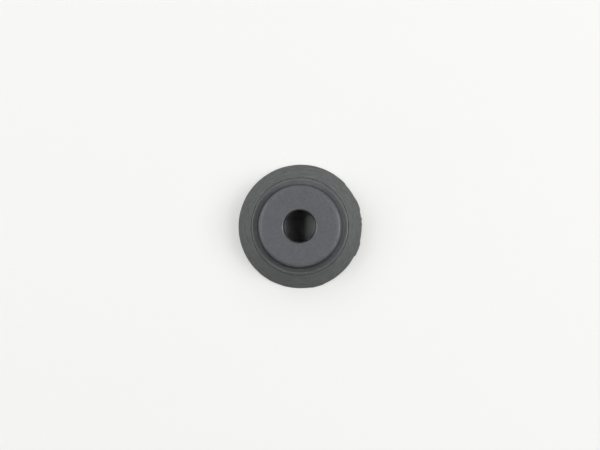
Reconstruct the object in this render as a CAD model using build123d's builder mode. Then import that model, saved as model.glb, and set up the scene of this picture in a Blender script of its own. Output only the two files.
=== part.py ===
"""A moulded rubber dust cap for the nose of a rotary hammer, in build123d.

The cap is one piece, turned about its axis: a bell with a steep flank, a narrow
stepped land, a flat round crown, and a bore through the crown that wipes the
tool's shank. A fine groove runs round the foot of the crown, and a crease runs
round the foot of the step. The hollow back takes the end of the chuck's sleeve,
and a lip inside snaps into the groove of the chuck's nose.

Millimetres, +Z up. The origin is the centre of the open mouth, on the face
that the cap stands on.
"""

import os

from build123d import *

# What the cap fits.
shank_diameter = 10.0
shank_grip = 0.3  # how far the bore is under the shank, on the radius
nose_diameter = 24.8
nose_clearance = 0.2
sleeve_diameter = 30.6
sleeve_clearance = 0.15

# Heights of the stack from the mouth to the face of the crown.
socket_depth = 3.0
snap_lip_thickness = 1.4
nose_chamber_depth = 1.6
shoulder_thickness = 1.5
crown_height = 2.5

# Widths of the rubber round the hollows, and of the steps outside.
skirt_wall = 3.55
shoulder_wall = 1.9
snap_lip_depth = 1.4
land_width = 2.1
step_width = 0.35
step_height = 1.05
crown_draft = 0.15  # taken on the radius, over the height of the crown
crown_brow_width = 0.95
crown_brow_fall = 0.18  # how far the face of the crown drops toward its edge

# The bore is straight below, where it grips, and opens toward the face.
lead_in_depth = 1.8
lead_in_reach = 0.2

# The groove at the foot of the crown, and the crease at the foot of the step.
foot_groove_width = 0.4
foot_groove_depth = 0.3
step_crease_width = 0.2
step_crease_depth = 0.2

# The edge of the mouth, with the thin fin that trimming leaves on it.
rim_edge_height = 0.6
parting_fin_reach = 0.1
parting_fin_height = 0.25

# Edge rounds and chamfers.
bore_mouth_round = 0.35
bore_inner_chamfer = 0.6
crown_edge_round = 0.3
land_edge_round = 0.2
snap_lip_chamfer = 0.35
chamber_corner_chamfer = 0.4
socket_corner_chamfer = 0.4
mouth_chamfer = 0.4

# Radii that follow from the fits.
bore_radius = shank_diameter / 2 - shank_grip
bore_mouth_radius = bore_radius + lead_in_reach
chamber_radius = nose_diameter / 2 + nose_clearance
snap_lip_radius = chamber_radius - snap_lip_depth
socket_radius = sleeve_diameter / 2 + sleeve_clearance
rim_radius = socket_radius + skirt_wall
land_radius = chamber_radius + shoulder_wall
flank_top_radius = land_radius + step_width
crease_radius = flank_top_radius - step_crease_width
crown_foot_radius = land_radius - land_width
groove_radius = crown_foot_radius + foot_groove_width
crown_radius = crown_foot_radius - crown_draft
crown_face_radius = crown_radius - crown_brow_width

# Heights that follow from the stack.
snap_lip_top = socket_depth + snap_lip_thickness
chamber_ceiling = snap_lip_top + nose_chamber_depth
land_height = chamber_ceiling + shoulder_thickness
groove_floor = land_height - foot_groove_depth
flank_top_height = land_height - step_height
crease_floor = flank_top_height - step_crease_depth
cap_height = land_height + crown_height
crown_edge_height = cap_height - crown_brow_fall
lead_in_height = cap_height - lead_in_depth


def corner(section: BuildSketch, radius: float, height: float) -> Vertex:
    """The corner of a half section that lies at a radius and a height."""
    return section.vertices().sort_by_distance((radius, height, 0))[0]


with BuildPart() as rubber_cap:
    # The half section has the radius along X and the height along Z.
    with BuildSketch(Plane.XZ) as section:
        with BuildLine():
            Polyline(
                # Up the outside, from the rim to the crown.
                (rim_radius, 0),
                (rim_radius, rim_edge_height),
                (flank_top_radius, flank_top_height),
                (crease_radius, crease_floor),
                (land_radius, land_height),
                (groove_radius, land_height),
                (groove_radius, groove_floor),
                (crown_foot_radius, groove_floor),
                (crown_radius, crown_edge_height),
                (crown_face_radius, cap_height),
                # Down the bore and through the hollow back.
                (bore_mouth_radius, cap_height),
                (bore_radius, lead_in_height),
                (bore_radius, chamber_ceiling),
                (chamber_radius, chamber_ceiling),
                (chamber_radius, snap_lip_top),
                (snap_lip_radius, snap_lip_top),
                (snap_lip_radius, socket_depth),
                (socket_radius, socket_depth),
                (socket_radius, 0),
                close=True,
            )
        make_face()

        # Edges outside.
        fillet(corner(section, land_radius, land_height), land_edge_round)
        fillet(corner(section, crown_radius, crown_edge_height), crown_edge_round)

        # Edges of the bore, which is eased where the shank goes in.
        fillet(corner(section, bore_mouth_radius, cap_height), bore_mouth_round)
        chamfer(corner(section, bore_radius, chamber_ceiling), bore_inner_chamfer)

        # Edges of the hollow back.
        chamfer(corner(section, chamber_radius, chamber_ceiling), chamber_corner_chamfer)
        chamfer(corner(section, snap_lip_radius, snap_lip_top), snap_lip_chamfer)
        chamfer(corner(section, snap_lip_radius, socket_depth), snap_lip_chamfer)
        chamfer(corner(section, socket_radius, socket_depth), socket_corner_chamfer)
        chamfer(corner(section, socket_radius, 0), mouth_chamfer)

        # The fin stands out at half the height of the rim's edge.
        with Locations((rim_radius, rim_edge_height / 2)):
            Rectangle(2 * parting_fin_reach, parting_fin_height)
    revolve(axis=Axis.Z)

rubber_cap.part.label = "rubber_cap"

os.makedirs("parts", exist_ok=True)
export_step(rubber_cap.part, "parts/rubber_cap.step")
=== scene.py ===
"""A moulded rubber dust cap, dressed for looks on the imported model's frame.

The cap is one closed surface. A half section of straight runs and eased corners
is turned about the upright axis, and the trimmed edge of the mouth changes its
radius a little from place to place round the turn. The rubber is smooth on the
crown, and duller on the flank, where fine broken streaks run round it.

The classes hold the cap's sizes in millimetres. Meshes, lights and the camera
are in metres, with +Z up and the centre of the mouth at the origin.
"""

import logging
import math
from dataclasses import dataclass, field
from enum import Enum

import bpy
import numpy as np
from mathutils import Matrix, Vector


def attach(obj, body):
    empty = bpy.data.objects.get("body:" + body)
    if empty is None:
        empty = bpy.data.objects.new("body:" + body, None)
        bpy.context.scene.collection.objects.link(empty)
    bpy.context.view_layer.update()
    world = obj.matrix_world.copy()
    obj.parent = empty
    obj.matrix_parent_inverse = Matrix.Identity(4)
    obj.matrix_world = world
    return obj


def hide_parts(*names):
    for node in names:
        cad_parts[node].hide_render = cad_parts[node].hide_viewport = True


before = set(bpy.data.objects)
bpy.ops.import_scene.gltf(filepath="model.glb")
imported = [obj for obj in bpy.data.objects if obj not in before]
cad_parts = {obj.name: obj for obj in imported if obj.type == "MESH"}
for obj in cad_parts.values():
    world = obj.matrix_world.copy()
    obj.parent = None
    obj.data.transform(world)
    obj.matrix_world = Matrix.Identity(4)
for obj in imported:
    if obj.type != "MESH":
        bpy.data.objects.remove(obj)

LOG = logging.getLogger("rubber_cap")
MILLIMETRE = 0.001

Tone = tuple[float, float, float]
Socket = bpy.types.NodeSocket
Inputs = dict[int | str, Socket | float | tuple[float, ...]]


def smooth_step(share: np.ndarray) -> np.ndarray:
    """The cubic ease from 0 to 1: three times the square less twice the cube."""
    held = np.clip(share, 0.0, 1.0)
    return held * held * (3.0 - 2.0 * held)


def turned_from(degrees: np.ndarray, middle: float) -> np.ndarray:
    """The angle from a middle direction, between -180 and 180 degrees."""
    return (degrees - middle + 180.0) % 360.0 - 180.0


class Ease(Enum):
    """How a corner of the section is eased."""

    SHARP = "sharp"
    ROUND = "round"
    CHAMFER = "chamfer"


class Skin(Enum):
    """The look of a run of the section: how smooth it is, and its painted shade.

    Smoothness goes from 0, dull, to 1, smooth. The painted shade goes from 0,
    none, to 1, the deepest: a darker tone where shade falls, on the crown's wall
    and foot, in the groove and the hollow, and lightly on the step and the trim.
    """

    # Second value: painted shade on the crown's wall and foot, groove, step, trim and hollow.
    CROWN = (1.0, 0.0)
    WALL = (0.6, 0.45)
    GROOVE = (0.5, 0.5)
    FOOT = (0.5, 0.3)
    LAND = (0.6, 0.0)
    STEP = (0.4, 0.2)
    FLANK = (0.0, 0.0)
    TRIM = (0.15, 0.1)
    HOLLOW = (0.35, 1.0)

    @property
    def smooth(self) -> float:
        """How smooth the run is."""
        return self.value[0]

    @property
    def painted_shade_share(self) -> float:
        """How much painted shade the run carries."""
        return self.value[1]


@dataclass(frozen=True)
class Corner:
    """One corner of the half section.

    Attributes:
        radius: Distance from the axis, in millimetres.
        height: Height above the mouth, in millimetres.
        skin: The skin of the straight run that leaves the corner.
        ease: How the corner is eased.
        size: The radius of a round, or the setback of a chamfer.
        steps: How many facets a round has.
        wear_and_highlight: How worn and pale the corner is, from 0 to 1: partly wear, partly a
            painted highlight.
    """

    radius: float
    height: float
    skin: Skin
    ease: Ease = Ease.SHARP
    size: float = 0.0
    steps: int = 0
    wear_and_highlight: float = 0.0


@dataclass(frozen=True)
class Section:
    """A closed half section, given by its corners in turn.

    Attributes:
        corners: The corners, counter-clockwise with the radius to the right.
        guard: Length of the short facet on each side of a corner.
        guard_share: The most of a run that its guard facet may take.
        spacing: The longest facet on a straight run.
        rub_lean: Below 1, the wear and painted highlight are strongest just before a corner's
            middle.
    """

    corners: tuple[Corner, ...]
    guard: float = 0.08
    guard_share: float = 0.2
    spacing: float = 0.9
    rub_lean: float = 0.7

    def rows(self) -> np.ndarray:
        """Samples the section.

        Returns:
            One row for each sample: radius, height, smoothness, painted shade,
            and wear with painted highlight.
        """
        turns = [self._corner_rows(index) for index in range(len(self.corners))]
        parts = []
        for index, (corner, arc) in enumerate(zip(self.corners, turns)):
            last, first = arc[-1, :2], turns[(index + 1) % len(turns)][0, :2]
            pieces = max(1, math.ceil(np.linalg.norm(first - last) / self.spacing))
            share = np.linspace(0.0, 1.0, pieces + 1)[1:-1]
            line = np.zeros((len(share), arc.shape[1]))
            line[:, :2] = last + share[:, None] * (first - last)
            line[:, 2:4] = corner.skin.value
            parts += [arc, line]
        return np.concatenate(parts)

    def _corner_rows(self, index: int) -> np.ndarray:
        """Samples one corner with a guard facet on each side of it.

        Across the corner, the smoothness goes evenly from one run's to the
        other's, the painted shade goes by a quarter of a sine, and the wear with
        its painted highlight rises and falls by half of one.

        Args:
            index: Which corner.

        Returns:
            Rows of radius, height, smoothness, painted shade, and wear with painted highlight.
        """
        before, here = self.corners[index - 1], self.corners[index]
        after = self.corners[(index + 1) % len(self.corners)]
        point = np.array([here.radius, here.height])
        back = np.array([before.radius, before.height]) - point
        ahead = np.array([after.radius, after.height]) - point
        back_length, ahead_length = np.linalg.norm(back), np.linalg.norm(ahead)
        back, ahead = back / back_length, ahead / ahead_length
        path = self._path(here, point, back, ahead)
        lead = min(self.guard, self.guard_share * back_length)
        tail = min(self.guard, self.guard_share * ahead_length)
        path = np.vstack([path[0] + back * lead, path, path[-1] + ahead * tail])
        share = np.linspace(0.0, 1.0, len(path))
        smooth = before.skin.smooth + share * (here.skin.smooth - before.skin.smooth)
        darkened = np.sin(share * math.pi / 2)
        painted_shade_share = before.skin.painted_shade_share + darkened * (here.skin.painted_shade_share - before.skin.painted_shade_share)
        wear_and_highlight = here.wear_and_highlight * np.sin(math.pi * share**self.rub_lean)
        return np.column_stack([path, smooth, painted_shade_share, wear_and_highlight])

    @staticmethod
    def _path(
        corner: Corner, point: np.ndarray, back: np.ndarray, ahead: np.ndarray
    ) -> np.ndarray:
        """The points of an eased corner.

        A round is the arc that touches both of its runs: its centre lies on the
        bisector of the corner, at the round's radius over the sine of half the
        angle, and it leaves each run at the radius over that angle's tangent.

        Args:
            corner: The corner.
            point: Where it is.
            back: The direction of the run before it, away from it.
            ahead: The direction of the run after it, away from it.

        Returns:
            One row for each point: radius and height.
        """
        if corner.ease is Ease.SHARP:
            return point[None, :]
        if corner.ease is Ease.CHAMFER:
            return np.array([point + back * corner.size, point + ahead * corner.size])
        half = math.acos(float(np.clip(back @ ahead, -1.0, 1.0))) / 2
        setback = corner.size / math.tan(half)
        inward = (back + ahead) / np.linalg.norm(back + ahead)
        centre = point + inward * corner.size / math.sin(half)
        start = point + back * setback - centre
        finish = point + ahead * setback - centre
        first = math.atan2(start[1], start[0])
        turn = math.atan2(finish[1], finish[0]) - first
        turn = (turn + math.pi) % (2 * math.pi) - math.pi
        angles = first + turn * np.linspace(0.0, 1.0, corner.steps + 1)
        return centre + corner.size * np.column_stack([np.cos(angles), np.sin(angles)])


@dataclass(frozen=True)
class Nick:
    """A place on the mouth's edge where the knife cut wide or close.

    Attributes:
        start: Where it starts, in degrees round the axis from +X.
        end: Where it ends, in degrees.
        reach: How far it stands out of the edge, in millimetres, below 0 for a cut.
        start_fade: How gently it starts, in degrees.
        end_fade: How gently it ends, in degrees.
    """

    start: float
    end: float
    reach: float
    start_fade: float
    end_fade: float

    def offset(self, degrees: np.ndarray) -> np.ndarray:
        """The nick's reach at each angle: a smooth step up times a smooth step down.

        Args:
            degrees: Angles round the axis.

        Returns:
            The change of radius at each angle, in millimetres.
        """
        middle = (self.start + self.end) / 2
        turned = turned_from(degrees, middle)
        rise = smooth_step((turned - (self.start - middle)) / self.start_fade + 0.5)
        fall = smooth_step(((self.end - middle) - turned) / self.end_fade + 0.5)
        return self.reach * rise * fall


@dataclass(frozen=True)
class Wave:
    """One of the fine waves that the knife left round the mouth's edge.

    Attributes:
        count: How many there are round the cap.
        share: Its height, as a share of the ripple.
        phase: Where it starts, in radians.
    """

    count: int
    share: float
    phase: float

    def offset(self, angle: np.ndarray) -> np.ndarray:
        """The wave's height at each angle, as a share of the ripple."""
        return self.share * np.sin(self.count * angle + self.phase)


@dataclass(frozen=True)
class Patch:
    """A side of the cap where a painted mark, highlight or shade, is strongest.

    Attributes:
        middle: Its direction round the axis, in degrees from +X.
        spread: How far it reaches to each side, in degrees.
        amount: How strong it is at its middle, below 0 for a side with less.
    """

    middle: float
    spread: float
    amount: float

    def strength(self, angle: np.ndarray) -> np.ndarray:
        """The patch's strength at each angle: a smooth step down from its middle.

        Args:
            angle: Angles round the axis, in radians.

        Returns:
            The strength at each angle.
        """
        turned = np.abs(turned_from(np.degrees(angle), self.middle))
        return self.amount * smooth_step(1.0 - turned / self.spread)


@dataclass(frozen=True)
class TrimmedEdge:
    """The uneven edge that trimming left round the mouth.

    Attributes:
        nicks: The places where the edge leaves its circle.
        waves: The knife's small ripples.
        ripple: Height of the ripples, in millimetres.
        inset: How far the trimmed edge lies inside the plain one, in millimetres.
        margin: How far inside the rim the unevenness starts, in millimetres.
        growth: Over how much of that margin it grows, in millimetres.
        full: Height up to which it is full, in millimetres.
        top: Height at which it has died away on the flank, in millimetres.
    """

    nicks: tuple[Nick, ...] = (
        Nick(0.0, 14.8, -0.14, 2.0, 3.0),
        Nick(1.3, 2.7, 0.10, 1.2, 1.2),
        Nick(5.9, 8.4, 0.16, 1.2, 1.6),
        Nick(15.5, 23.6, 0.09, 3.0, 4.0),
        Nick(27.0, 43.0, -0.12, 4.0, 1.5),
        Nick(44.0, 84.0, 0.06, 2.0, 14.0),
        Nick(97.0, 133.0, -0.03, 12.0, 12.0),
        Nick(246.0, 277.0, -0.06, 12.0, 6.0),
        Nick(280.2, 293.0, 0.12, 3.0, 5.0),
        Nick(308.0, 321.0, -0.04, 8.0, 3.0),
        Nick(322.0, 331.5, -0.12, 5.0, 0.5),
        Nick(331.5, 344.4, 0.13, 0.5, 3.0),
        Nick(346.0, 360.0, -0.16, 3.0, 2.0),
    )
    waves: tuple[Wave, ...] = (
        Wave(17, 0.5, 0.7),
        Wave(31, 0.4, 2.1),
        Wave(53, 0.3, 4.0),
        Wave(89, 0.25, 1.3),
    )
    ripple: float = 0.012
    inset: float = 0.05
    margin: float = 1.6
    growth: float = 1.4
    full: float = 0.5
    top: float = 1.5

    def offset(self, angle: np.ndarray) -> np.ndarray:
        """The change of radius round the mouth: the nicks and the ripples.

        Args:
            angle: Angles round the axis, in radians.

        Returns:
            The change of radius at each angle, in millimetres.
        """
        degrees = np.degrees(angle)
        cuts = sum(nick.offset(degrees) for nick in self.nicks)
        return cuts + self.ripple * sum(wave.offset(angle) for wave in self.waves)

    def weight(self, radius: np.ndarray, height: np.ndarray, rim: float) -> np.ndarray:
        """How fully each sample of the section follows the edge.

        It is one on the outside up to the rim's own edge, and fades to nothing
        up the flank and across the mouth's face.

        Args:
            radius: Radii of the section's samples.
            height: Heights of the section's samples.
            rim: The radius of the rim.

        Returns:
            A weight from 0 to 1 for each sample.
        """
        outward = smooth_step((radius - (rim - self.margin)) / self.growth)
        upward = smooth_step((self.top - height) / (self.top - self.full))
        return outward * upward


@dataclass(frozen=True)
class Shading:
    """The nodes of a material or of the surroundings, and the sums made of them.

    Attributes:
        tree: The nodes.
    """

    tree: bpy.types.NodeTree

    def node(self, kind: str, inputs: Inputs | None = None, **settings: str) -> bpy.types.Node:
        """Adds a node.

        Args:
            kind: The node's type.
            inputs: What its inputs get: a plain value, or the socket that feeds them.
            settings: The node's own settings.

        Returns:
            The new node.
        """
        made = self.tree.nodes.new(kind)
        for name, setting in settings.items():
            setattr(made, name, setting)
        self.feed(made, inputs or {})
        return made

    def feed(self, node: bpy.types.Node, inputs: Inputs) -> None:
        """Gives a node's inputs their values.

        Args:
            node: The node.
            inputs: A plain value, or the socket that feeds it, for each input.
        """
        for key, source in inputs.items():
            if isinstance(source, Socket):
                self.tree.links.new(source, node.inputs[key])
            else:
                node.inputs[key].default_value = source

    def place(self) -> Socket:
        """The point on the surface, in the object's own frame."""
        return self.node("ShaderNodeTexCoord").outputs["Object"]

    def stored(self, name: str) -> Socket:
        """One of the surface's own values, by its name."""
        return self.node("ShaderNodeAttribute", attribute_name=name).outputs["Fac"]

    def camera_ray(self) -> Socket:
        """1 for what the camera sees directly, and 0 for all other light."""
        return self.node("ShaderNodeLightPath").outputs["Is Camera Ray"]

    def maths(self, operation: str, first: Socket, second: Socket | float) -> Socket:
        """Works out one sum on two numbers."""
        return self.node("ShaderNodeMath", {0: first, 1: second}, operation=operation).outputs[0]

    def vector(
        self, operation: str, first: Socket, second: Socket | tuple[float, float, float]
    ) -> Socket:
        """Works out one sum on two vectors."""
        inputs = {0: first, 1: second}
        return self.node("ShaderNodeVectorMath", inputs, operation=operation).outputs["Vector"]

    def direction(self, vector: Socket) -> Socket:
        """A vector's direction, as a vector of length 1."""
        inputs = {0: vector}
        return self.node("ShaderNodeVectorMath", inputs, operation="NORMALIZE").outputs["Vector"]

    def length(self, vector: Socket) -> Socket:
        """The length of a vector."""
        inputs = {0: vector}
        return self.node("ShaderNodeVectorMath", inputs, operation="LENGTH").outputs["Value"]

    def scaled(self, vector: Socket, factor: Socket | float) -> Socket:
        """A vector or a tone times a number."""
        inputs = {0: vector, "Scale": factor}
        return self.node("ShaderNodeVectorMath", inputs, operation="SCALE").outputs["Vector"]

    def spread(self, value: Socket, low: float, high: float) -> Socket:
        """Spreads a value from 0 to 1 over another range.

        Args:
            value: The value.
            low: What 0 becomes.
            high: What 1 becomes.

        Returns:
            The spread value.
        """
        inputs = {"Value": value, "To Min": low, "To Max": high}
        return self.node("ShaderNodeMapRange", inputs).outputs["Result"]

    def noise(self, place: Socket, size: float, detail: float) -> Socket:
        """Adds soft noise.

        Args:
            place: Where the noise is read.
            size: The size of a noise cell, in the units of the place.
            detail: How many finer layers it has.

        Returns:
            The noise, from 0 to 1.
        """
        inputs = {"Vector": place, "Scale": 1.0 / size, "Detail": detail}
        return self.node("ShaderNodeTexNoise", inputs).outputs["Fac"]

    def mix(self, share: Socket, first: Socket | Tone, second: Tone) -> Socket:
        """Mixes two tones.

        Args:
            share: 0 for the first tone, 1 for the second.
            first: A tone, or where one comes from.
            second: A tone.

        Returns:
            The mixed tone.
        """
        base = first if isinstance(first, Socket) else (*first, 1.0)
        inputs = {"Factor": share, 6: base, 7: (*second, 1.0)}
        return self.node("ShaderNodeMix", inputs, data_type="RGBA").outputs[2]

    def tint(self, tone: Socket, value: Socket, swing: float) -> Socket:
        """Darkens and lightens a tone by a value.

        Args:
            tone: The tone.
            value: A value from 0, where the tone is darkest, to 1.
            swing: How far the tone goes each way, as a share of it.

        Returns:
            The changed tone.
        """
        return self.scaled(tone, self.spread(value, 1.0 - swing, 1.0 + swing))

    def relief(self, height: Socket, share: Socket, depth: float) -> bpy.types.Node:
        """Adds relief to the surface.

        Args:
            height: The relief's height, from 0 to 1.
            share: How much of it shows, from 0 to 1.
            depth: How deep it is, in millimetres.

        Returns:
            The relief, which takes and gives a normal.
        """
        inputs = {"Height": height, "Strength": share, "Distance": depth * MILLIMETRE}
        return self.node("ShaderNodeBump", inputs)


@dataclass(frozen=True)
class MouldedRubber:
    """Black moulded rubber, smooth on the crown and duller on the flank.

    Attributes:
        name: The material's name.
        smooth_tone: Colour of the smooth rubber, in linear light.
        dull_tone: Colour of the dull rubber, in linear light.
        wear_and_highlight_tone: Colour of worn corners, in linear light: partly wear and partly
            a painted highlight.
        painted_shade_tone: Colour of the painted shade, in linear light.
        smooth_roughness: Roughness of the smooth rubber.
        dull_roughness: Roughness of the dull rubber.
        rubbed_gloss: How much smoother a worn corner is, in roughness.
        drift_size: Size of the broad cloudiness, in millimetres.
        drift_tint: How far it changes the tone.
        drift_gloss: How far it changes the roughness.
        speck_size: Size of the fine cloudiness, in millimetres.
        speck_tint: How far it changes the tone.
        cloud_detail: How many finer layers both kinds of cloudiness have.
        grain_size: Size of the moulded grain, in millimetres.
        grain_depth: Depth of the grain on the dull rubber, in millimetres.
        grain_detail: How many finer layers the grain has.
        smooth_grain: How much of that depth is left on the smooth rubber.
        streak_pitch: Distance between the streaks round the flank, in millimetres.
        streak_length: Length of a streak at the streak radius, in millimetres.
        streak_radius: Radius at which a streak has its length, in millimetres.
        streak_depth: Depth of the streaks, in millimetres.
        streak_detail: How many finer layers the streaks have.
        streak_tint: How far the streaks change the tone of dull rubber.
    """

    name: str = "moulded_rubber"
    smooth_tone: Tone = (0.107, 0.111, 0.120)
    dull_tone: Tone = (0.0843, 0.0887, 0.0886)
    wear_and_highlight_tone: Tone = (0.150, 0.155, 0.165)
    painted_shade_tone: Tone = (0.040, 0.041, 0.042)
    smooth_roughness: float = 0.42
    dull_roughness: float = 0.62
    rubbed_gloss: float = 0.28
    drift_size: float = 3.2
    drift_tint: float = 0.05
    drift_gloss: float = 0.05
    speck_size: float = 0.60
    speck_tint: float = 0.28
    cloud_detail: float = 3.0
    grain_size: float = 0.30
    grain_depth: float = 0.10
    grain_detail: float = 2.0
    smooth_grain: float = 0.2
    streak_pitch: float = 0.48
    streak_length: float = 2.2
    streak_radius: float = 19.0
    streak_depth: float = 0.11
    streak_detail: float = 3.0
    streak_tint: float = 1.35

    def material(self) -> bpy.types.Material:
        """Builds the material from the values stored on the cap's surface.

        Returns:
            The new material.
        """
        made = bpy.data.materials.new(self.name)
        made.use_nodes = True
        nodes = Shading(made.node_tree)
        place = nodes.place()
        smooth, wear_and_highlight = nodes.stored("smoothness"), nodes.stored("wear_and_highlight")
        drift = nodes.noise(place, self.drift_size * MILLIMETRE, self.cloud_detail)
        streak = self._streaks(nodes, place)
        inputs = {
            "Base Color": self._tone(nodes, place, smooth, wear_and_highlight, drift, streak),
            "Roughness": self._roughness(nodes, smooth, wear_and_highlight, drift),
            "Normal": self._normal(nodes, place, smooth, streak),
        }
        nodes.feed(made.node_tree.nodes["Principled BSDF"], inputs)
        return made

    def _tone(
        self,
        nodes: Shading,
        place: Socket,
        smooth: Socket,
        wear_and_highlight: Socket,
        drift: Socket,
        streak: Socket,
    ) -> Socket:
        """The rubber's tone.

        It goes from dull to smooth by the surface's own smoothness, to the painted
        shade's tone by its painted shade, and to pale by its wear, which is partly a
        painted highlight. Two sizes of soft noise cloud it, and the streaks change
        it by their height less a half, on dull rubber.

        Args:
            nodes: The material's nodes.
            place: The point on the surface.
            smooth: How smooth the surface is.
            wear_and_highlight: How much it is worn pale, partly wear and partly a painted
                highlight.
            drift: The broad cloudiness.
            streak: The streaks.

        Returns:
            The tone.
        """
        tone = nodes.mix(smooth, self.dull_tone, self.smooth_tone)
        # Painted shade: a darker tone where shade falls, deepest away from the lamps.
        tone = nodes.mix(nodes.stored("painted_shade"), tone, self.painted_shade_tone)
        # Painted highlight, with wear: paler corners, palest on the lamps' sides.
        tone = nodes.mix(wear_and_highlight, tone, self.wear_and_highlight_tone)
        tone = nodes.tint(tone, drift, self.drift_tint)
        speck = nodes.noise(place, self.speck_size * MILLIMETRE, self.cloud_detail)
        tone = nodes.tint(tone, speck, self.speck_tint)
        swing = nodes.spread(smooth, self.streak_tint, 0.0)
        swing = nodes.maths("MULTIPLY", nodes.maths("SUBTRACT", streak, 0.5), swing)
        return nodes.scaled(tone, nodes.maths("ADD", swing, 1.0))

    def _roughness(self, nodes: Shading, smooth: Socket, wear_and_highlight: Socket, drift: Socket) -> Socket:
        """The rubber's roughness, less where it is smooth or worn.

        Args:
            nodes: The material's nodes.
            smooth: How smooth the surface is.
            wear_and_highlight: How much it is worn, which makes it glossier.
            drift: The broad cloudiness.

        Returns:
            The roughness.
        """
        rough = nodes.spread(smooth, self.dull_roughness, self.smooth_roughness)
        clouded = nodes.spread(drift, -self.drift_gloss, self.drift_gloss)
        rough = nodes.maths("ADD", rough, clouded)
        return nodes.maths("SUBTRACT", rough, nodes.spread(wear_and_highlight, 0.0, self.rubbed_gloss))

    def _normal(self, nodes: Shading, place: Socket, smooth: Socket, streak: Socket) -> Socket:
        """The rubber's relief: a fine grain, and the streaks over it on dull rubber.

        Args:
            nodes: The material's nodes.
            place: The point on the surface.
            smooth: How smooth the surface is.
            streak: The streaks.

        Returns:
            The surface's new normal.
        """
        height = nodes.noise(place, self.grain_size * MILLIMETRE, self.grain_detail)
        share = nodes.spread(smooth, 1.0, self.smooth_grain)
        grain = nodes.relief(height, share, self.grain_depth)
        streaks = nodes.relief(streak, nodes.spread(smooth, 1.0, 0.0), self.streak_depth)
        nodes.feed(streaks, {"Normal": grain.outputs["Normal"]})
        return streaks.outputs["Normal"]

    def _streaks(self, nodes: Shading, place: Socket) -> Socket:
        """Adds the broken streaks that run round the axis.

        The noise is read at a point made of the direction from the axis, held
        to a short step for each streak, and of the distance from the axis less
        the height. So it changes slowly round the cap and fast across it.

        Args:
            nodes: The material's nodes.
            place: The point on the surface.

        Returns:
            The streaks, from 0 to 1.
        """
        flat = nodes.vector("MULTIPLY", place, (1.0, 1.0, 0.0))
        step = self.streak_radius * self.streak_pitch / self.streak_length
        round_axis = nodes.scaled(nodes.direction(flat), step)
        height = nodes.node("ShaderNodeSeparateXYZ", {0: place}).outputs["Z"]
        across = nodes.maths("SUBTRACT", nodes.length(flat), height)
        across = nodes.maths("DIVIDE", across, MILLIMETRE)
        across = nodes.node("ShaderNodeCombineXYZ", {"Z": across}).outputs["Vector"]
        point = nodes.vector("ADD", round_axis, across)
        return nodes.noise(point, self.streak_pitch, self.streak_detail)


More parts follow.
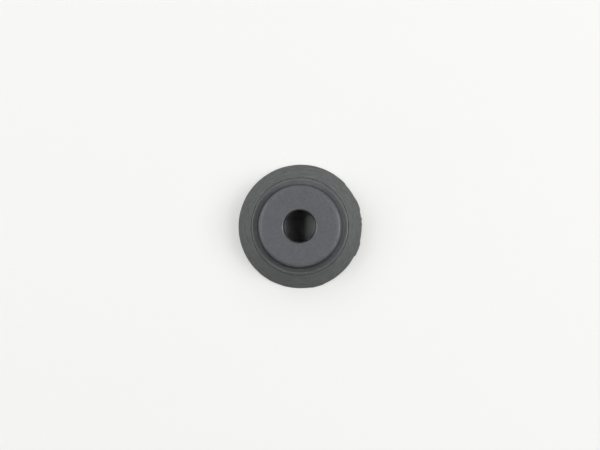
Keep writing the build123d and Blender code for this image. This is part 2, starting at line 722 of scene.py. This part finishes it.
@dataclass(frozen=True)
class RubberCap:
    """The cap: a low bell with a stepped top, a bore and a hollow back.

    Sizes are in millimetres. Radii are from the axis, heights from the mouth.
    The skirt of the mouth carries a thin fin, the crease runs round the foot of
    the step up to the land, and a shallow groove round the foot of the crown.
    Each size is named for the place that it measures.

    Attributes:
        node: The plain solid that the surface stands for.
        facets_round: How many facets the surface has round the axis.
        sharp_angle: The least angle between facets that shows as an edge, in degrees.
        wear_and_highlight_sides: The lamps' sides, where the corners' painted highlight is
            strongest.
        least_rubbed: How much the corners are worn pale all round.
        painted_shade_sides: The sides where the painted shade round the crown's foot is deeper
            or lighter.
        painted_shade_margin: How far below the groove's floor that painted shade may reach.
        edge: The trimmed edge of the mouth.
        finish: The rubber.
    """

    node: str = "rubber_cap"

    # The mouth's edge, with the fin at half of its height.
    rim_radius: float = 19.0
    rim_edge_height: float = 0.6
    rim_foot_round: float = 0.05
    rim_edge_round: float = 0.06
    fin_reach: float = 0.1
    fin_root: float = 0.25
    fin_tip: float = 0.1

    # The crease at the top of the flank, and the land above the step.
    flank_top_radius: float = 14.84
    flank_top_height: float = 6.42
    flank_top_round: float = 0.05
    crease_radius: float = 14.68
    crease_floor: float = 6.24
    crease_round: float = 0.04
    land_radius: float = 14.58
    land_height: float = 7.5
    land_round: float = 0.34
    clean_land_width: float = 0.7

    # The groove round the crown's foot, and the crown.
    groove_radius: float = 12.82
    groove_floor: float = 7.36
    groove_round: float = 0.05
    crown_foot_radius: float = 12.65
    crown_radius: float = 12.13
    crown_edge_height: float = 9.77
    crown_round: float = 0.42
    crown_face_radius: float = 11.4
    crown_face_round: float = 3.0
    cap_height: float = 10.0

    # The bore, which opens toward the face.
    bore_mouth_radius: float = 5.05
    bore_mouth_round: float = 0.35
    lead_in_height: float = 8.2
    bore_radius: float = 4.7
    bore_chamfer: float = 0.6

    # The hollow back.
    chamber_ceiling: float = 6.0
    chamber_radius: float = 12.6
    chamber_chamfer: float = 0.4
    snap_lip_top: float = 4.4
    snap_lip_radius: float = 11.2
    snap_lip_chamfer: float = 0.35
    socket_depth: float = 3.0
    socket_radius: float = 15.45
    socket_chamfer: float = 0.4

    facets_round: int = 600
    sharp_angle: float = 35.0
    # Painted highlight on the corners, strongest on the right and left lamps' sides.
    wear_and_highlight_sides: tuple[Patch, ...] = (Patch(356.0, 42.0, 1.0), Patch(178.0, 50.0, 1.0))
    least_rubbed: float = 0.1
    # Painted shade round the crown's foot: deepest at the bottom, away from the lamps.
    painted_shade_sides: tuple[Patch, ...] = (
        Patch(268.0, 75.0, 1.4),
        Patch(358.0, 60.0, -0.9),
        Patch(90.0, 60.0, -0.5),
        Patch(180.0, 40.0, -0.35),
    )
    painted_shade_margin: float = 0.1
    edge: TrimmedEdge = field(default_factory=TrimmedEdge)
    finish: MouldedRubber = field(default_factory=MouldedRubber)

    def section(self) -> Section:
        """The half section, from the mouth's face up the outside and down the inside."""
        return Section(self._skirt() + self._top() + self._hollow())

    def _skirt(self) -> tuple[Corner, ...]:
        """The corners of the mouth's edge and its fin, up to the flank."""
        rim, fin = self.rim_radius, self.rim_radius + self.fin_reach
        middle = self.rim_edge_height / 2
        root, tip = self.fin_root / 2, self.fin_tip / 2
        foot_round, edge_round = self.rim_foot_round, self.rim_edge_round
        return (
            Corner(rim, 0.0, Skin.TRIM, Ease.ROUND, foot_round, steps=3),
            Corner(rim, middle - root, Skin.TRIM),
            Corner(fin, middle - tip, Skin.TRIM),
            Corner(fin, middle + tip, Skin.TRIM),
            Corner(rim, middle + root, Skin.TRIM),
            Corner(rim, self.rim_edge_height, Skin.FLANK, Ease.ROUND, edge_round, steps=3),
        )

    def _top(self) -> tuple[Corner, ...]:
        """The corners of the crease, the land, the groove and the crown."""
        flank_top = (self.flank_top_radius, self.flank_top_height)
        crease = (self.crease_radius, self.crease_floor)
        land = (self.land_radius, self.land_height)
        crown_foot = (self.crown_foot_radius, self.groove_floor)
        crown_edge = (self.crown_radius, self.crown_edge_height)
        crown_face = (self.crown_face_radius, self.cap_height)
        return (
            Corner(*flank_top, Skin.GROOVE, Ease.ROUND, self.flank_top_round, steps=4),
            Corner(*crease, Skin.STEP, Ease.ROUND, self.crease_round, steps=4),
            # Paler worn edges, which also paint highlights on the land and the crown.
            Corner(*land, Skin.LAND, Ease.ROUND, self.land_round, steps=8, wear_and_highlight=0.5),
            Corner(self.land_radius - self.clean_land_width, self.land_height, Skin.FOOT),
            Corner(self.groove_radius, self.land_height, Skin.GROOVE),
            Corner(*crown_foot, Skin.WALL, Ease.ROUND, self.groove_round, steps=4),
            Corner(*crown_edge, Skin.CROWN, Ease.ROUND, self.crown_round, steps=9, wear_and_highlight=0.8),
            Corner(*crown_face, Skin.CROWN, Ease.ROUND, self.crown_face_round, steps=6),
        )

    def _hollow(self) -> tuple[Corner, ...]:
        """The corners of the bore, the chamber, the snap lip and the socket."""
        mouth = (self.bore_mouth_radius, self.cap_height)
        bore, chamber = self.bore_radius, self.chamber_radius
        lip, socket = self.snap_lip_radius, self.socket_radius
        ceiling, lip_top, depth = self.chamber_ceiling, self.snap_lip_top, self.socket_depth
        lip_chamfer, socket_chamfer = self.snap_lip_chamfer, self.socket_chamfer
        return (
            # Paler worn mouth round, which also paints its highlight.
            Corner(*mouth, Skin.HOLLOW, Ease.ROUND, self.bore_mouth_round, steps=12, wear_and_highlight=1.0),
            Corner(bore, self.lead_in_height, Skin.HOLLOW),
            Corner(bore, ceiling, Skin.HOLLOW, Ease.CHAMFER, self.bore_chamfer),
            Corner(chamber, ceiling, Skin.HOLLOW, Ease.CHAMFER, self.chamber_chamfer),
            Corner(chamber, lip_top, Skin.HOLLOW),
            Corner(lip, lip_top, Skin.HOLLOW, Ease.CHAMFER, lip_chamfer),
            Corner(lip, depth, Skin.HOLLOW, Ease.CHAMFER, lip_chamfer),
            Corner(socket, depth, Skin.HOLLOW, Ease.CHAMFER, socket_chamfer),
            Corner(socket, 0.0, Skin.TRIM, Ease.CHAMFER, socket_chamfer),
        )

    def build(self) -> bpy.types.Object:
        """Builds the surface of the cap.

        A point at angle a of the turn and sample s of the section lies at
        radius(s) plus weight(s) times the edge's offset(a) from the axis, in
        the direction a, at height(s).

        Returns:
            The new object, with its smoothness, painted shade, and wear with painted
            highlight on its points.
        """
        rows = self.section().rows()
        radius, height, smooth, painted_shade_share, wear_and_highlight = np.split(rows, rows.shape[1], axis=1)
        turn = np.arange(self.facets_round) * (2 * math.pi / self.facets_round)
        weight = self.edge.weight(radius, height, self.rim_radius)
        out = radius + weight * (self.edge.offset(turn) - self.edge.inset)
        grid = np.empty((len(rows), self.facets_round, 3))
        grid[..., 0] = out * np.cos(turn)
        grid[..., 1] = out * np.sin(turn)
        grid[..., 2] = height
        mesh = self._mesh(grid * MILLIMETRE)
        # Wear all round, with a painted highlight on the lamps' sides.
        wear_and_highlight_sides = self.least_rubbed + sum(patch.strength(turn) for patch in self.wear_and_highlight_sides)
        # Painted shade round the crown's foot, deepest away from the lamps.
        painted_shade_sides = sum(patch.strength(turn) for patch in self.painted_shade_sides)
        lowest = self.groove_floor - self.painted_shade_margin
        foot = (radius > self.crown_face_radius) & (height > lowest)
        self._store(mesh, "smoothness", smooth)
        self._store(mesh, "painted_shade", painted_shade_share * (1.0 + foot * painted_shade_sides))
        self._store(mesh, "wear_and_highlight", wear_and_highlight * np.minimum(wear_and_highlight_sides, 1.0))
        made = bpy.data.objects.new("cap_surface", mesh)
        bpy.context.scene.collection.objects.link(made)
        return made

    def _mesh(self, grid: np.ndarray) -> bpy.types.Mesh:
        """Makes a closed mesh of a grid that wraps both ways.

        Args:
            grid: Points by sample of the section and by step of the turn.

        Returns:
            The mesh, with its faces outwards and its hard edges marked.
        """
        along, around = grid.shape[:2]
        i, j = np.meshgrid(np.arange(along), np.arange(around), indexing="ij")
        i_next, j_next = (i + 1) % along, (j + 1) % around
        quads = np.stack(
            [i * around + j, i * around + j_next, i_next * around + j_next, i_next * around + j],
            axis=-1,
        ).reshape(-1, 4)
        mesh = bpy.data.meshes.new("cap_surface")
        mesh.vertices.add(along * around)
        mesh.vertices.foreach_set("co", grid.ravel())
        mesh.loops.add(quads.size)
        mesh.loops.foreach_set("vertex_index", quads.ravel())
        mesh.polygons.add(len(quads))
        mesh.polygons.foreach_set("loop_start", np.arange(len(quads)) * 4)
        mesh.polygons.foreach_set("use_smooth", np.ones(len(quads), dtype=bool))
        mesh.update(calc_edges=True)
        mesh.set_sharp_from_angle(angle=math.radians(self.sharp_angle))
        return mesh

    def _store(self, mesh: bpy.types.Mesh, name: str, values: np.ndarray) -> None:
        """Writes one value on every point.

        Args:
            mesh: The cap's mesh.
            name: The value's name.
            values: Values by sample of the section, and by step of the turn if they
                change round it.
        """
        spread = np.broadcast_to(values, (len(values), self.facets_round))
        attribute = mesh.attributes.new(name, "FLOAT", "POINT")
        attribute.data.foreach_set("value", spread.ravel())

    def dress(self, piece: bpy.types.Object) -> None:
        """Gives the cap its finish, and puts it in place of the plain solid."""
        piece.data.materials.append(self.finish.material())
        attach(piece, "root")
        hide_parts(self.node)


@dataclass(frozen=True)
class PaleFloor:
    """The plain pale floor under the cap.

    Attributes:
        side: Its side, in metres.
        tone: Its colour, in linear light.
        roughness: Its roughness.
        gloss: How strongly it mirrors, where 0.5 is plain plastic.
        below: How far it lies under the mouth, in metres.
        glow: The share of the plain background that the camera sees in it.
        clear: Radius round the axis inside which it has no such share, in metres.
        near: Radius where that share starts to grow, in metres.
        far: Radius where the camera sees the plain background alone, in metres.
        glow_tone: Colour of that background, in linear light.
    """

    side: float = 6.0
    tone: Tone = (0.88, 0.878, 0.867)
    roughness: float = 0.9
    gloss: float = 0.1
    below: float = 0.00001
    glow: float = 0.35
    clear: float = 0.017
    near: float = 0.13
    far: float = 0.9
    glow_tone: Tone = (0.93, 0.928, 0.905)

    def build(self) -> bpy.types.Object:
        """Builds the floor.

        Returns:
            The floor.
        """
        half = self.side / 2
        corners = np.array([[-1, -1], [1, -1], [1, 1], [-1, 1]]) * half
        points = np.column_stack([corners, np.full(4, -self.below)])
        mesh = bpy.data.meshes.new("floor")
        mesh.from_pydata(points.tolist(), [], [(0, 1, 2, 3)])
        mesh.materials.append(self._material())
        floor = bpy.data.objects.new("floor", mesh)
        bpy.context.scene.collection.objects.link(floor)
        return floor

    def _material(self) -> bpy.types.Material:
        """Builds the floor's material, with the plain background mixed into it.

        Only the camera sees that background, so it lights nothing. It grows
        with the distance from the axis, so the floor ends in no line.

        Returns:
            The new material.
        """
        made = bpy.data.materials.new("pale_floor")
        made.use_nodes = True
        nodes = Shading(made.node_tree)
        shader = made.node_tree.nodes["Principled BSDF"]
        looks = {
            "Base Color": (*self.tone, 1.0),
            "Roughness": self.roughness,
            "Specular IOR Level": self.gloss,
        }
        nodes.feed(shader, looks)
        distance = nodes.length(nodes.place())
        outside = nodes.maths("GREATER_THAN", distance, self.clear)
        seen = nodes.maths("MULTIPLY", nodes.camera_ray(), outside)
        growth = {
            "Value": distance,
            "From Min": self.near,
            "From Max": self.far,
            "To Min": self.glow,
        }
        grown = nodes.node("ShaderNodeMapRange", growth, interpolation_type="SMOOTHSTEP")
        share = nodes.maths("MULTIPLY", seen, grown.outputs["Result"])
        glow = nodes.node("ShaderNodeEmission", {"Color": (*self.glow_tone, 1.0)})
        layers = {0: share, 1: shader.outputs["BSDF"], 2: glow.outputs["Emission"]}
        mixed = nodes.node("ShaderNodeMixShader", layers).outputs["Shader"]
        nodes.feed(made.node_tree.nodes["Material Output"], {"Surface": mixed})
        return made


@dataclass(frozen=True)
class SoftBox:
    """A broad soft lamp that faces the cap.

    Attributes:
        name: The lamp's name.
        azimuth: Its direction round the cap, in degrees from +X.
        elevation: Its height above the floor, in degrees.
        power: Its power, in watts.
        distance: Its distance from the cap, in metres.
        width: Its width along the floor, in metres.
        height: Its height across, in metres.
    """

    name: str
    azimuth: float
    elevation: float
    power: float
    distance: float = 1.2
    width: float = 0.75
    height: float = 0.5

    def build(self) -> bpy.types.Object:
        """Hangs the lamp.

        Returns:
            The lamp.
        """
        lamp = bpy.data.lights.new(self.name, "AREA")
        lamp.shape = "RECTANGLE"
        lamp.size = self.width
        lamp.size_y = self.height
        lamp.energy = self.power
        turn, rise = math.radians(self.azimuth), math.radians(self.elevation)
        aim = Vector(
            (math.cos(turn) * math.cos(rise), math.sin(turn) * math.cos(rise), math.sin(rise))
        )
        made = bpy.data.objects.new(self.name, lamp)
        made.location = aim * self.distance
        made.rotation_mode = "QUATERNION"
        made.rotation_quaternion = aim.to_track_quat("Z", "Y")
        made.visible_camera = False
        bpy.context.scene.collection.objects.link(made)
        return made


@dataclass(frozen=True)
class Studio:
    """The lamps and the pale surroundings.

    Attributes:
        lamps: The soft lamps.
        surround: How bright the surroundings look, where 1 is white.
    """

    lamps: tuple[SoftBox, ...] = (
        SoftBox("right", 0.0, 37.5, 10.3),
        SoftBox("right_high", 12.0, 47.0, 0.8),
        SoftBox("right_back", 60.0, 33.0, 2.6),
        SoftBox("right_front", 320.0, 38.0, 1.2),
        SoftBox("left_back", 120.0, 33.0, 3.7),
        SoftBox("left", 172.0, 33.0, 4.5),
        SoftBox("left_low", 212.0, 20.0, 1.2),
        SoftBox("left_high", 178.0, 49.0, 3.3),
    )
    surround: float = 0.93

    def build(self) -> None:
        """Hangs the lamps and sets the surroundings, which only the camera sees."""
        for lamp in self.lamps:
            lamp.build()
        world = bpy.data.worlds.new("surround")
        bpy.context.scene.world = world
        world.use_nodes = True
        nodes = Shading(world.node_tree)
        seen = nodes.maths("MULTIPLY", nodes.camera_ray(), self.surround)
        looks = {"Color": (1.0, 1.0, 1.0, 1.0), "Strength": seen}
        nodes.feed(world.node_tree.nodes["Background"], looks)
        bpy.context.scene.view_settings.view_transform = "Standard"


@dataclass(frozen=True)
class OverheadCamera:
    """The camera, which looks almost straight down.

    Attributes:
        place: Where it is, in metres.
        aim: The point of the floor that it looks at, in metres.
        field_width: How wide a strip of the floor it takes in, in metres.
        sensor_width: The width of its sensor, in millimetres.
    """

    place: tuple[float, float, float] = (0.0096, -0.0022, 0.400)
    aim: tuple[float, float, float] = (-0.00011, 0.00048, 0.0)
    field_width: float = 0.18496
    sensor_width: float = 36.0

    def build(self) -> bpy.types.Object:
        """Sets the camera up, with +Y upwards in its view.

        Returns:
            The camera.
        """
        camera = bpy.data.cameras.new("camera")
        made = bpy.data.objects.new("camera", camera)
        place, aim = Vector(self.place), Vector(self.aim)
        forward = (aim - place).normalized()
        right = Vector((1.0, 0.0, 0.0))
        right = (right - forward * right.dot(forward)).normalized()
        up = right.cross(forward)
        made.location = place
        made.rotation_mode = "QUATERNION"
        made.rotation_quaternion = Matrix((right, up, -forward)).transposed().to_quaternion()
        camera.sensor_width = self.sensor_width
        camera.lens = self.sensor_width * (aim - place).length / self.field_width
        bpy.context.scene.collection.objects.link(made)
        bpy.context.scene.camera = made
        return made


def main() -> None:
    """Builds the scene in order and reports each piece."""
    logging.basicConfig(level=logging.INFO, format="%(name)s: %(message)s")
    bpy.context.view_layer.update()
    cap = RubberCap()
    piece = cap.build()
    cap.dress(piece)
    LOG.info("cap surface: %d faces", len(piece.data.polygons))
    floor = PaleFloor().build()
    LOG.info("floor: %.1f m a side", floor.dimensions.x)
    studio = Studio()
    studio.build()
    LOG.info("studio: %d lamps", len(studio.lamps))
    camera = OverheadCamera().build()
    LOG.info("camera: lens %.1f mm", camera.data.lens)


if __name__ == "__main__":
    main()
